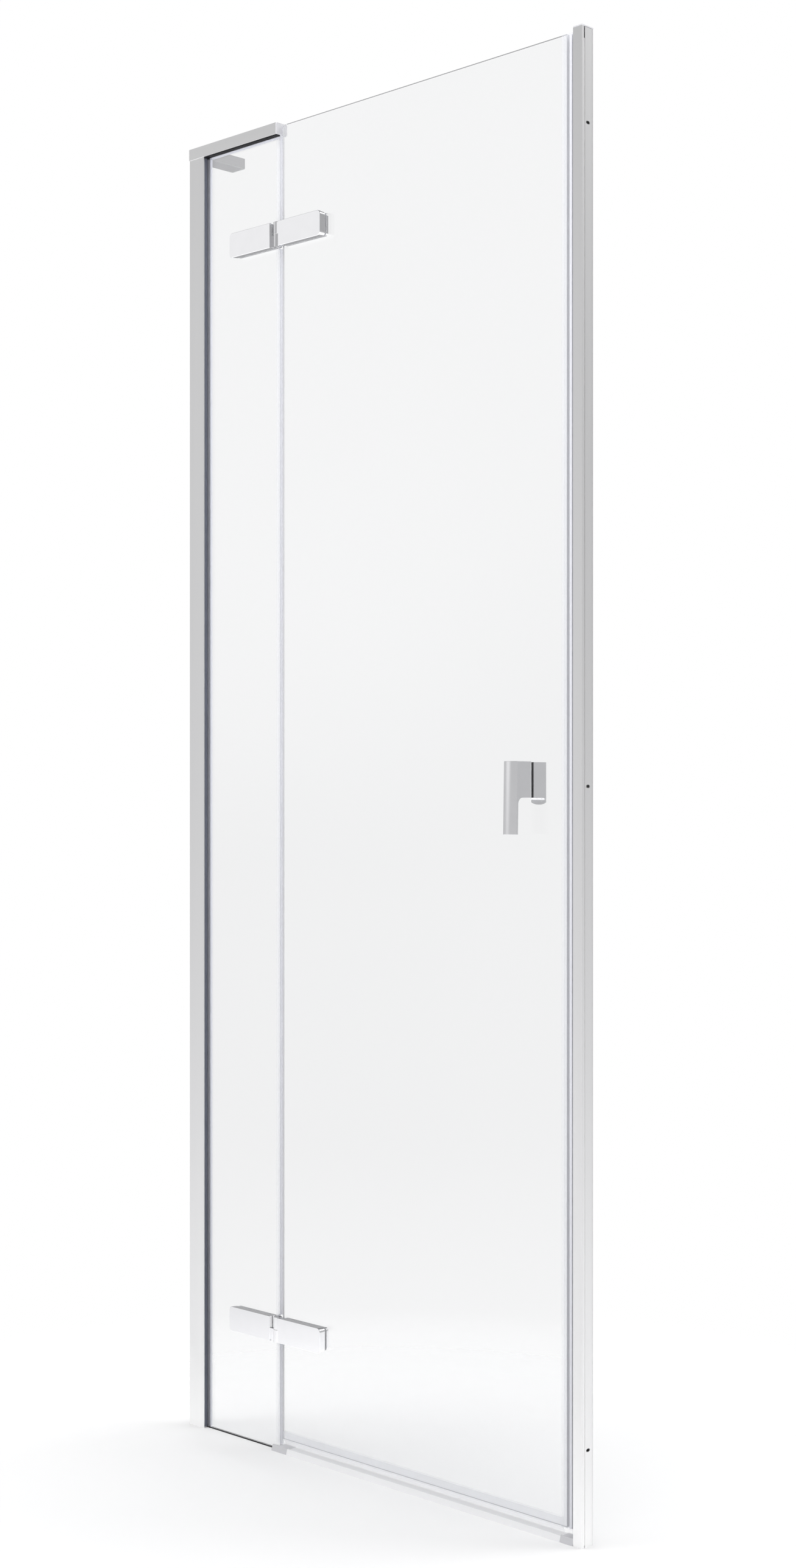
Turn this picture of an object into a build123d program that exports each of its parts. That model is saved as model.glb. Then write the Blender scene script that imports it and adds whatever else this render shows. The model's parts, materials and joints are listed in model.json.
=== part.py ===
from build123d import *
from math import radians, tan
import os

# Pivot shower door for a niche: a narrow fixed pane on the left wall profile, and a door hung on it by two
# glass-to-glass hinges, closing with a magnet on the right wall profile.
# Millimetres. X runs along the door from the left wall to the right wall, Y from the room into the shower,
# Z up from the tray. The origin is on the tray, midway between the walls, in the middle of the glass.

# Overall size
WIDTH = 780.0
HEIGHT = 1950.0
LEFT_WALL = -WIDTH / 2
RIGHT_WALL = WIDTH / 2

# Glass
GLASS = 6.0
GLASS_FRONT = -GLASS / 2
GLASS_BACK = GLASS / 2
GLASS_ARRIS = 0.5
FIXED_GLASS_LEFT = -373.0
FIXED_GLASS_RIGHT = -193.0
DOOR_GLASS_LEFT = -187.0
DOOR_GLASS_RIGHT = 357.5
DOOR_GLASS_BOTTOM = 18.0
DOOR_TOP = 1946.5

# Wall profiles
PROFILE_DEPTH = 23.0
PROFILE_FRONT = -11.5
PROFILE_BACK = PROFILE_FRONT + PROFILE_DEPTH
WALL = 1.6
SLIDE = 0.1
WALL_SLOT_LENGTH = 7.0
WALL_SLOT_WIDTH = 4.0
WALL_SLOT_Y = 0.5
MID_HEIGHT = HEIGHT / 2
WALL_SLOT_PITCH = 851.0
WALL_SLOT_HEIGHTS = (MID_HEIGHT - WALL_SLOT_PITCH, MID_HEIGHT, MID_HEIGHT + WALL_SLOT_PITCH)
COVER_SCREW_HEIGHTS = (250.0, 1700.0)
COVER_SCREW_RADIUS = 2.0
COVER_SCREW_HEAD = 4.0
COVER_SCREW_HEAD_CROWN = 3.0
COVER_SCREW_HEAD_HEIGHT = 2.0
COVER_SCREW_REACH = 7.0
CROSS_LENGTH = 4.2
CROSS_WIDTH = 0.8
CROSS_DEPTH = 1.2

# Left wall profile
LEFT_COVER_LEFT = LEFT_WALL + 1.0
LEFT_COVER_FRONT_EDGE = -356.0
LEFT_COVER_BACK_EDGE = -361.0
LEFT_COVER_WEB = -376.6
LEFT_CHANNEL_EDGE = -378.0
LEFT_CHANNEL_TOP = 1930.0
LEFT_SCREW_X = -383.0
GASKET_HOOK = 2.5
FRONT_GASKET_LEFT = -366.0
FRONT_GASKET_RIGHT = -356.4
FRONT_GASKET_LIP = -357.6
FRONT_GASKET_SHOULDER = GLASS_FRONT - 1.6
REAR_GASKET_LEFT = -368.0
REAR_GASKET_SHOULDER = -361.4
REAR_GASKET_RIGHT = -354.0
REAR_GASKET_LIP_BACK = 7.2

# Right wall profile
RIGHT_COVER_LEFT = 375.0
RIGHT_RETURN_BACK = -7.6
RIGHT_CHANNEL_FRONT = -5.6
RIGHT_CHANNEL_BACK = 8.6
RIGHT_CHANNEL_EDGE = 379.8
RIGHT_BACK_EDGE = 389.2
RIGHT_CAP_THICK = 1.6
RIGHT_CAP_CORNER = 1.5
RIGHT_CAP_TONGUE = 6.0
RIGHT_CAP_TONGUE_BACK = 4.8
RIGHT_CAP_TONGUE_FRONT = -5.8
RIGHT_CHANNEL_DROP = 0.6
RIGHT_SCREW_X = 383.5

# Top rail and wall arm
RAIL_BOTTOM = 1933.0
RAIL_FACE = 12.2
RAIL_RIGHT = -193.0
RAIL_CAP_THICK = 2.0
RAIL_GASKET_BOTTOM = 1931.6
RAIL_GASKET_TOP = 1940.0
RAIL_GASKET_LEFT = -355.8
RAIL_GASKET_RIGHT = -193.1
RAIL_REAR_GASKET_BOTTOM = 1932.4
FIXED_GLASS_TOP = 1937.0
ARM_RIGHT = -361.0
ARM_TOP = 1949.0
ARM_END = 79.0
ARM_WALL = 1.8
ARM_CAP_THICK = 2.0
ARM_MIDDLE = (RAIL_BOTTOM + ARM_TOP) / 2
PLUG_DEPTH = 8.0
RAIL_PLUG_BOTTOM = RAIL_GASKET_TOP + 1.0
RAIL_CORNER_RADIUS = 2.0
KEY_SCREW_Z = 1915.0
LEFT_SCREW_HEIGHTS = COVER_SCREW_HEIGHTS + (KEY_SCREW_Z,)
KEY_SCREW_Y = 30.0
KEY_SCREW_REACH = 10.0
KEY_SINK_RADIUS = 4.0
KEY_SINK_DEPTH = 0.2
KEY_LEFT = -388.0
KEY_RIGHT = -363.4
KEY_BOTTOM = FIXED_GLASS_TOP + 1.0
KEY_TONGUE_LEFT = -387.4
KEY_TONGUE_RIGHT = -377.6
KEY_TONGUE_HALF = 7.6
KEY_TONGUE_DROP = 38.0
KEY_FIT = 0.3
KEY_ARM_START = 9.0
KEY_ARM_REACH = 36.0

# Foot of the fixed pane, sill and end pieces
FOOT_SEAL_TOP = 1.8
SILL_LEFT = -170.0
SILL_RIGHT = 353.0
SILL_FRONT = -12.5
SILL_BACK = 10.0
SILL_LIP_TOP = 8.3
SILL_FLOOR = 6.8
SILL_BACK_STEP = 1.5
SILL_BACK_RAMP = 3.0
SILL_LIP_FRONT = -10.4
SILL_LIP_BACK = -8.2
SILL_CORE_FRONT = -10.4
SILL_CORE_BOTTOM = 1.4
SILL_CORE_TOP = 5.4
SILL_CORE_FRONT_TOP = -9.6
SILL_CORE_BACK = 6.9
SILL_CORE_BACK_TOP = 5.6
SILL_CAP_LEFT = -201.0
SILL_CAP_PROUD = 0.4
SILL_CAP_NOTCH_FRONT = -4.4
SILL_CAP_NOTCH_RIGHT = FIXED_GLASS_RIGHT + 0.6
SILL_CAP_CORNER = 1.0
SILL_PLUG_FIT = 0.15
SILL_PLUG_REACH = 10.0
SILL_RIGHT_CAP_RISE = 1.0

# Seals on the glass edges
SEAL_WALL = 0.8
SEAL_SKIN = 1.0
GAP_SEAL_LEFT = -200.0
GAP_SEAL_BOTTOM = 9.6
GAP_SEAL_BEAD = 1.6
GAP_SEAL_BEAD_X = DOOR_GLASS_LEFT - 0.5 - GAP_SEAL_BEAD
GAP_SEAL_LIP_RIGHT = GAP_SEAL_BEAD_X - GAP_SEAL_BEAD + 0.3
SEAL_END_GAP = 0.2
MAGNET_END_GAP = 2.0
DRIP_SEAL_TOP = 29.5
DRIP_SEAL_BOTTOM = 16.6
DRIP_FIN_TIP = 8.9
DRIP_FIN_ROOT = DRIP_SEAL_BOTTOM + 0.2
DRIP_FIN_FRONT = -1.0
DRIP_FIN_THICK = 1.0
DRIP_FIN_LEAN = 3.5
DRIP_SEAL_LEFT = DOOR_GLASS_LEFT + 0.6
MAGNET_SEAL_LEFT = 349.5
MAGNET_SEAL_RIGHT = 367.0
RECEIVER_LEFT = 368.0
RECEIVER_POCKET = RECEIVER_LEFT + SEAL_WALL
RECEIVER_NECK = 2.1
RECEIVER_SLOT = 3.6
RECEIVER_SLOT_BACK = 379.2
RECEIVER_BOX_WALL = 1.0
RECEIVER_HALF = 4.6
RECEIVER_FENCE = 7.0
RECEIVER_FENCE_LEFT = RECEIVER_LEFT + 4.5
RECEIVER_FIN_LEFT = RECEIVER_LEFT - 5.0
RECEIVER_BOTTOM = SILL_LIP_TOP + SILL_RIGHT_CAP_RISE + 0.4
MAGNET_WIDTH = 6.2
MAGNET_THICK = 4.0

# Hinges
HINGE_FROM_GLASS_END = 161.0
HINGE_CENTRES = {
    "upper": DOOR_TOP - HINGE_FROM_GLASS_END,
    "lower": DOOR_GLASS_BOTTOM + HINGE_FROM_GLASS_END,
}
HINGE_AXIS_X = -192.0
HINGE_AXIS_Y = -8.25
HINGE_HEIGHT = 36.5
HINGE_FRONT = -14.5
HINGE_PAD = 0.5
HINGE_PLATE = 3.5
HINGE_BODY_BACK = GLASS_FRONT - HINGE_PAD
HINGE_PLATE_FRONT = GLASS_BACK + HINGE_PAD
HINGE_BACK = HINGE_PLATE_FRONT + HINGE_PLATE
HINGE_DRAFT = 5.3
HINGE_LEAF = 90.0
FIXED_LEAF_LEFT = -293.0
DOOR_LEAF_LEFT = -185.5
HINGE_END_RADIUS = 6.0
HINGE_EDGE = 0.4
KNUCKLE_RADIUS = 6.25
KNUCKLE_GAP = 0.3
HINGE_PIN_RADIUS = 3.0
BUSH_RADIUS = 4.2
BUSH_CLEARANCE = 0.05
CLAMP_PITCH = 46.0
CLAMP_HOLE_RADIUS = 7.0
CLAMP_SCREW_RADIUS = 2.5
CLAMP_HEAD_RADIUS = 4.8
CLAMP_HEAD_SUNK = 0.3
CLAMP_HEAD_TOP = CLAMP_HEAD_RADIUS - 0.5
CLAMP_HEAD_NECK = CLAMP_HEAD_RADIUS - CLAMP_SCREW_RADIUS + 0.2
CLAMP_SCREW_LENGTH = 17.5
HEX_SOCKET_RADIUS = 1.5
HEX_SOCKET_DEPTH = 2.0
PAD_INSET = 0.4
NECK_FRONT = -10.5
NECK_BACK = -4.5
DOOR_NECK_FRONT = -13.6
NECK_INSET = 1.2
KNUCKLE_ROOT = 2.0
BARREL_TOP_WALL = 2.2
PIN_INSET = 0.6
PIN_TOP_GAP = 0.4
BUSH_FLANGE_INSET = 0.4
BUSH_FLANGE_FIT = 0.04
NOTCH_DEPTH = 4.5
NOTCH_HEIGHT = 39.0

# Handle
HANDLE_LEFT = 273.5
HANDLE_RIGHT = 297.0
HANDLE_X = (HANDLE_LEFT + HANDLE_RIGHT) / 2
HANDLE_TOP = 1008.0
HANDLE_ARM_BOTTOM = 960.0
HANDLE_GRIP_BOTTOM = 912.0
HANDLE_GRIP_THICK = 4.8
HANDLE_REACH = -32.5
HANDLE_LEAN = 2.0
HANDLE_CROWN = 1.2
HANDLE_BEVEL = 0.8
HANDLE_CREASE = 8.0
HANDLE_ARM_START = HANDLE_REACH + 2.3
HANDLE_PAD = 0.9
HANDLE_PAD_INSET = 0.3
HANDLE_INNER_TOP = 1007.0
HANDLE_INNER_REACH = 29.0
HANDLE_TAB_BOTTOM = 951.0
HANDLE_TAB_THICK = 3.0
HANDLE_TAB_CREASE = 3.0
HANDLE_TAB_BOW = 3.0
HANDLE_CUT_PAST = 2.0
STUD_RADIUS = 3.0
STUD_HEIGHTS = (972.0, 996.0)
STUD_BORE_DEPTH = 16.0
STUD_LENGTH_EACH_WAY = 15.0
STUD_HOLE_RADIUS = 6.0


def rect(a0, a1, b0, b1, mode=Mode.ADD):
    """Rectangle of the open sketch, between its corners (a0, b0) and (a1, b1)."""
    with Locations(((a0 + a1) / 2, (b0 + b1) / 2)):
        Rectangle(a1 - a0, b1 - b0, mode=mode)


def through_glass(y, z=0.0):
    """Sketch plane facing into the shower at depth y: its x is X and its y is down from z."""
    return Plane(origin=(0, y, z), x_dir=(1, 0, 0), z_dir=(0, 1, 0))


def save(builder, node):
    """Label the piece and write it as one file."""
    builder.part.label = node
    export_step(builder.part, f"parts/{node}.step")


def wall_slots(x):
    """Slots for the wall screws, cut through the web whose outer face is at x."""
    with BuildSketch(Plane.YZ.offset(x - WALL)) as slots:
        with Locations(*[(WALL_SLOT_Y, z) for z in WALL_SLOT_HEIGHTS]):
            SlotOverall(WALL_SLOT_LENGTH, WALL_SLOT_WIDTH)
    extrude(slots.sketch, amount=WALL, mode=Mode.SUBTRACT)


def back_holes(x, heights, radius, y0, y1):
    """Round holes along Y between the depths y0 and y1."""
    with BuildSketch(through_glass(y0)) as holes:
        with Locations(*[(x, -z) for z in heights]):
            Circle(radius)
    extrude(holes.sketch, amount=y1 - y0, mode=Mode.SUBTRACT)


def pan_screw(x, y, z, reach):
    """Cross-head screw seated on the back face at y, its shank reaching forwards."""
    with BuildSketch(Plane(origin=(x, y, z), x_dir=(1, 0, 0), z_dir=(0, 0, 1))) as half:
        with BuildLine():
            Polyline(
                (0, -reach), (COVER_SCREW_RADIUS, -reach), (COVER_SCREW_RADIUS, 0), (COVER_SCREW_HEAD, 0),
                (COVER_SCREW_HEAD_CROWN, COVER_SCREW_HEAD_HEIGHT), (0, COVER_SCREW_HEAD_HEIGHT), close=True,
            )
        make_face()
    revolve(half.sketch, axis=Axis((x, y, z), (0, 1, 0)))
    with Locations((x, y + COVER_SCREW_HEAD_HEIGHT, z)):
        Box(CROSS_LENGTH, 2 * CROSS_DEPTH, CROSS_WIDTH, mode=Mode.SUBTRACT)
        Box(CROSS_WIDTH, 2 * CROSS_DEPTH, CROSS_LENGTH, mode=Mode.SUBTRACT)


def left_profile():
    """Channel screwed to the left wall, and the cover that slides over it and holds the fixed pane."""
    inner = PROFILE_BACK - WALL - SLIDE
    with BuildPart() as left_wall_channel:
        with BuildSketch():
            rect(LEFT_WALL, LEFT_CHANNEL_EDGE, -inner, inner)
            rect(LEFT_WALL + WALL, LEFT_CHANNEL_EDGE, WALL - inner, inner - WALL, Mode.SUBTRACT)
        extrude(amount=LEFT_CHANNEL_TOP)
        wall_slots(LEFT_WALL + WALL)
        back_holes(LEFT_SCREW_X, LEFT_SCREW_HEIGHTS, COVER_SCREW_RADIUS, inner - WALL, inner)
    save(left_wall_channel, "left_wall_channel")

    with BuildPart() as left_cover_profile:
        with BuildSketch():
            rect(LEFT_COVER_LEFT, LEFT_COVER_FRONT_EDGE, PROFILE_FRONT, PROFILE_FRONT + WALL)
            rect(LEFT_COVER_LEFT, LEFT_COVER_BACK_EDGE, PROFILE_BACK - WALL, PROFILE_BACK)
            rect(LEFT_COVER_WEB, LEFT_COVER_WEB + WALL, PROFILE_FRONT, PROFILE_BACK)
            rect(FRONT_GASKET_LEFT - WALL / 2, FRONT_GASKET_LEFT, PROFILE_FRONT, PROFILE_FRONT + GASKET_HOOK)
            rect(REAR_GASKET_LEFT - WALL / 2, REAR_GASKET_LEFT, PROFILE_BACK - GASKET_HOOK, PROFILE_BACK)
        extrude(amount=RAIL_BOTTOM)
        back_holes(LEFT_SCREW_X, LEFT_SCREW_HEIGHTS, COVER_SCREW_RADIUS, PROFILE_BACK - WALL, PROFILE_BACK)
    save(left_cover_profile, "left_cover_profile")

    with BuildPart() as left_front_gasket:
        with BuildSketch(Plane.XY.offset(FOOT_SEAL_TOP)):
            with BuildLine():
                Polyline(
                    (FRONT_GASKET_LEFT, PROFILE_FRONT + WALL), (FRONT_GASKET_RIGHT, PROFILE_FRONT + WALL),
                    (FRONT_GASKET_RIGHT, FRONT_GASKET_SHOULDER), (FRONT_GASKET_LIP, GLASS_FRONT),
                    (FRONT_GASKET_LEFT, GLASS_FRONT), close=True,
                )
            make_face()
        extrude(amount=RAIL_GASKET_BOTTOM - FOOT_SEAL_TOP)
    save(left_front_gasket, "left_front_gasket")

    with BuildPart() as left_rear_gasket:
        with BuildSketch(Plane.XY.offset(FOOT_SEAL_TOP)):
            rect(REAR_GASKET_LEFT, REAR_GASKET_SHOULDER, GLASS_BACK, PROFILE_BACK - WALL)
            rect(REAR_GASKET_SHOULDER, REAR_GASKET_RIGHT, GLASS_BACK, REAR_GASKET_LIP_BACK)
        extrude(amount=RAIL_GASKET_BOTTOM - FOOT_SEAL_TOP)
    save(left_rear_gasket, "left_rear_gasket")

    with BuildPart() as left_cover_screws:
        for z in COVER_SCREW_HEIGHTS:
            pan_screw(LEFT_SCREW_X, PROFILE_BACK, z, COVER_SCREW_REACH)
    save(left_cover_screws, "left_cover_screws")


def top_rail():
    """Inverted channel over the fixed pane, its gaskets and end cap, and the arm running back by the wall."""
    with BuildPart() as rail:
        with BuildSketch(Plane.YZ.offset(LEFT_WALL)):
            rect(-RAIL_FACE, RAIL_FACE, RAIL_BOTTOM, HEIGHT)
            rect(WALL - RAIL_FACE, RAIL_FACE - WALL, RAIL_BOTTOM, HEIGHT - WALL, Mode.SUBTRACT)
        extrude(amount=RAIL_RIGHT - LEFT_WALL)
        with BuildSketch(through_glass(RAIL_FACE - WALL)):
            rect(LEFT_WALL + ARM_WALL, ARM_RIGHT - ARM_WALL, ARM_WALL - ARM_TOP, -RAIL_BOTTOM - ARM_WALL)
        extrude(amount=WALL, mode=Mode.SUBTRACT)
    save(rail, "top_rail")

    with BuildPart() as top_rail_end_cap:
        with BuildSketch(Plane.YZ.offset(RAIL_RIGHT)) as plate:
            rect(-RAIL_FACE, RAIL_FACE, RAIL_BOTTOM, HEIGHT)
            fillet(plate.vertices().group_by(Axis.Z)[-1], RAIL_CORNER_RADIUS)
        extrude(amount=RAIL_CAP_THICK)
        with BuildSketch(Plane.YZ.offset(RAIL_RIGHT)):
            rect(WALL + SLIDE - RAIL_FACE, RAIL_FACE - WALL - SLIDE, RAIL_PLUG_BOTTOM, HEIGHT - WALL - SLIDE)
        extrude(amount=-PLUG_DEPTH)
    save(top_rail_end_cap, "top_rail_end_cap")

    with BuildPart() as top_rail_gasket:
        with BuildSketch(Plane.YZ.offset(RAIL_GASKET_LEFT)):
            rect(WALL - RAIL_FACE, GLASS_FRONT, RAIL_GASKET_BOTTOM, RAIL_GASKET_TOP)
            rect(GLASS_FRONT, RAIL_FACE - WALL, FIXED_GLASS_TOP, RAIL_GASKET_TOP)
        extrude(amount=RAIL_GASKET_RIGHT - RAIL_GASKET_LEFT)
    save(top_rail_gasket, "top_rail_gasket")

    with BuildPart() as top_rail_rear_gasket:
        with BuildSketch(Plane.YZ.offset(RAIL_GASKET_LEFT)):
            rect(GLASS_BACK, RAIL_FACE - WALL, RAIL_REAR_GASKET_BOTTOM, FIXED_GLASS_TOP)
        extrude(amount=RAIL_GASKET_RIGHT - RAIL_GASKET_LEFT)
    save(top_rail_rear_gasket, "top_rail_rear_gasket")

    with BuildPart() as corner_key:
        with BuildSketch(Plane.XY.offset(KEY_BOTTOM)):
            rect(KEY_LEFT, KEY_RIGHT, WALL + SLIDE - RAIL_FACE, RAIL_FACE - WALL - SLIDE)
        extrude(amount=HEIGHT - WALL - SLIDE - KEY_BOTTOM)
        with BuildSketch(Plane.XY.offset(KEY_BOTTOM)):
            rect(KEY_TONGUE_LEFT, KEY_TONGUE_RIGHT, -KEY_TONGUE_HALF, KEY_TONGUE_HALF)
        extrude(amount=-KEY_TONGUE_DROP)
        with BuildSketch(through_glass(KEY_ARM_START)):
            rect(KEY_LEFT, KEY_RIGHT, KEY_FIT + ARM_WALL - ARM_TOP, -RAIL_BOTTOM - ARM_WALL - KEY_FIT)
        extrude(amount=KEY_ARM_REACH)
        screw_end = PROFILE_BACK - KEY_SCREW_REACH
        back_holes(LEFT_SCREW_X, (KEY_SCREW_Z,), COVER_SCREW_RADIUS, screw_end, RAIL_FACE)
        with BuildSketch(Plane.YZ.offset(KEY_LEFT)):
            with Locations((KEY_SCREW_Y, ARM_MIDDLE)):
                Circle(COVER_SCREW_RADIUS)
        extrude(amount=KEY_SCREW_REACH, mode=Mode.SUBTRACT)
    save(corner_key, "corner_key")

    with BuildPart() as wall_arm:
        with BuildSketch(through_glass(RAIL_FACE)):
            rect(LEFT_WALL, ARM_RIGHT, -ARM_TOP, -RAIL_BOTTOM)
            rect(
                LEFT_WALL + ARM_WALL, ARM_RIGHT - ARM_WALL,
                ARM_WALL - ARM_TOP, -RAIL_BOTTOM - ARM_WALL, Mode.SUBTRACT,
            )
        extrude(amount=ARM_END - ARM_CAP_THICK - RAIL_FACE)
        with BuildSketch(Plane.YZ.offset(LEFT_WALL)):
            with Locations((KEY_SCREW_Y, ARM_MIDDLE)):
                Circle(KEY_SINK_RADIUS)
        extrude(amount=ARM_WALL, taper=45, mode=Mode.SUBTRACT)
    save(wall_arm, "wall_arm")

    with BuildPart() as wall_arm_end_cap:
        with BuildSketch(through_glass(ARM_END - ARM_CAP_THICK)):
            rect(LEFT_WALL, ARM_RIGHT, -ARM_TOP, -RAIL_BOTTOM)
        extrude(amount=ARM_CAP_THICK)
        with BuildSketch(through_glass(ARM_END - ARM_CAP_THICK)):
            rect(
                LEFT_WALL + ARM_WALL + SLIDE, ARM_RIGHT - ARM_WALL - SLIDE,
                ARM_WALL + SLIDE - ARM_TOP, -RAIL_BOTTOM - ARM_WALL - SLIDE,
            )
        extrude(amount=-PLUG_DEPTH)
    save(wall_arm_end_cap, "wall_arm_end_cap")

    with BuildPart() as corner_key_screws:
        pan_screw(LEFT_SCREW_X, PROFILE_BACK, KEY_SCREW_Z, KEY_SCREW_REACH)
        with BuildSketch(Plane.YZ.offset(LEFT_WALL + KEY_SINK_DEPTH)):
            with Locations((KEY_SCREW_Y, ARM_MIDDLE)):
                Circle(KEY_SINK_RADIUS - KEY_FIT)
        extrude(amount=ARM_WALL - KEY_SINK_DEPTH, taper=45)
        with BuildSketch(Plane.YZ.offset(LEFT_WALL + ARM_WALL / 2)):
            with Locations((KEY_SCREW_Y, ARM_MIDDLE)):
                Circle(COVER_SCREW_RADIUS)
        extrude(amount=KEY_SCREW_REACH - ARM_WALL / 2)
    save(corner_key_screws, "corner_key_screws")


def fixed_pane():
    """Fixed glass with its hinge holes and knuckle notches, its foot seal and the seal on its free edge."""
    with BuildPart() as fixed_glass:
        with BuildSketch(through_glass(GLASS_FRONT)):
            rect(FIXED_GLASS_LEFT, FIXED_GLASS_RIGHT, -FIXED_GLASS_TOP, -FOOT_SEAL_TOP)
            for z in HINGE_CENTRES.values():
                with Locations((FIXED_GLASS_RIGHT, -z)):
                    Rectangle(2 * NOTCH_DEPTH, NOTCH_HEIGHT, mode=Mode.SUBTRACT)
                with Locations(*[(x, -z) for x in clamp_places(FIXED_LEAF_LEFT)]):
                    Circle(CLAMP_HOLE_RADIUS, mode=Mode.SUBTRACT)
        extrude(amount=GLASS)
        chamfer(fixed_glass.edges().filter_by(Axis.Z).sort_by(Axis.X)[:2], GLASS_ARRIS)
    save(fixed_glass, "fixed_glass")

    with BuildPart() as foot_seal:
        with BuildSketch():
            rect(FIXED_GLASS_LEFT, FIXED_GLASS_RIGHT, GLASS_FRONT, GLASS_BACK)
        extrude(amount=FOOT_SEAL_TOP)
    save(foot_seal, "foot_seal")

    stops = [GAP_SEAL_BOTTOM]
    for centre in sorted(HINGE_CENTRES.values()):
        stops += [centre - NOTCH_HEIGHT / 2, centre + NOTCH_HEIGHT / 2]
    stops.append(RAIL_GASKET_BOTTOM - SEAL_END_GAP)
    skin = GLASS_BACK + SEAL_SKIN
    with BuildPart() as gap_seal:
        for low, high in zip(stops[::2], stops[1::2]):
            with BuildSketch(Plane.XY.offset(low)):
                rect(GAP_SEAL_LEFT, FIXED_GLASS_RIGHT + SEAL_WALL, -skin, skin)
                rect(FIXED_GLASS_RIGHT, GAP_SEAL_LIP_RIGHT, -skin, SEAL_WALL - skin)
                rect(GAP_SEAL_LEFT, FIXED_GLASS_RIGHT, GLASS_FRONT, GLASS_BACK, Mode.SUBTRACT)
                rect(FIXED_GLASS_RIGHT, GAP_SEAL_BEAD_X, -SEAL_WALL / 2, SEAL_WALL / 2)
            extrude(amount=high - low)
            with BuildSketch(Plane.XY.offset(low)):
                with Locations((GAP_SEAL_BEAD_X, 0)):
                    Circle(GAP_SEAL_BEAD)
            extrude(amount=(DOOR_TOP if high == stops[-1] else high) - low)
    save(gap_seal, "gap_seal")


def sill_section(front, rise, plane):
    """Outer section of the sill: leaning front, raised lip, and a low floor that ramps down at the back."""
    with BuildSketch(plane) as section:
        with BuildLine():
            Polyline(
                (front, 0), (SILL_BACK, 0), (SILL_BACK, SILL_BACK_STEP),
                (SILL_BACK - SILL_BACK_RAMP, SILL_FLOOR + rise), (SILL_LIP_BACK, SILL_FLOOR + rise),
                (SILL_LIP_BACK, SILL_LIP_TOP + rise), (SILL_LIP_FRONT, SILL_LIP_TOP + rise), close=True,
            )
        make_face()
    return section.sketch


def sill_core(plane, gap):
    """Section of the hollow inside the sill, or of an end piece's plug when it has a gap round it."""
    with BuildSketch(plane) as core:
        with BuildLine():
            low, high = SILL_CORE_BOTTOM + gap, SILL_CORE_TOP - gap
            Polyline(
                (SILL_CORE_FRONT + gap, low), (SILL_CORE_BACK - gap, low),
                (SILL_CORE_BACK_TOP - gap, high), (SILL_CORE_FRONT_TOP + gap, high), close=True,
            )
        make_face()
    return core.sketch


def sill():
    """Low threshold under the door, with a moulded piece at each end."""
    with BuildPart() as sill_profile:
        extrude(sill_section(SILL_FRONT, 0.0, Plane.YZ.offset(SILL_LEFT)), amount=SILL_RIGHT - SILL_LEFT)
        extrude(sill_core(Plane.YZ.offset(SILL_LEFT), 0.0), amount=SILL_RIGHT - SILL_LEFT, mode=Mode.SUBTRACT)
    save(sill_profile, "sill_profile")

    with BuildPart() as sill_left_cap:
        section = sill_section(SILL_FRONT - SILL_CAP_PROUD, SILL_CAP_PROUD, Plane.YZ.offset(SILL_CAP_LEFT))
        extrude(section, amount=SILL_LEFT - SILL_CAP_LEFT)
        with BuildSketch():
            rect(SILL_CAP_LEFT, SILL_CAP_NOTCH_RIGHT, SILL_CAP_NOTCH_FRONT, SILL_BACK)
        extrude(amount=2 * SILL_LIP_TOP, mode=Mode.SUBTRACT)
        fillet(sill_left_cap.edges().filter_by(Axis.Z).sort_by(Axis.X)[0], SILL_CAP_CORNER)
        extrude(sill_core(Plane.YZ.offset(SILL_LEFT), SILL_PLUG_FIT), amount=SILL_PLUG_REACH)
    save(sill_left_cap, "sill_left_cap")

    with BuildPart() as sill_right_cap:
        section = sill_section(SILL_FRONT, SILL_RIGHT_CAP_RISE, Plane.YZ.offset(SILL_RIGHT))
        extrude(section, amount=RIGHT_COVER_LEFT - SILL_RIGHT)
        extrude(sill_core(Plane.YZ.offset(SILL_RIGHT), SILL_PLUG_FIT), amount=-SILL_PLUG_REACH)
    save(sill_right_cap, "sill_right_cap")


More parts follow.
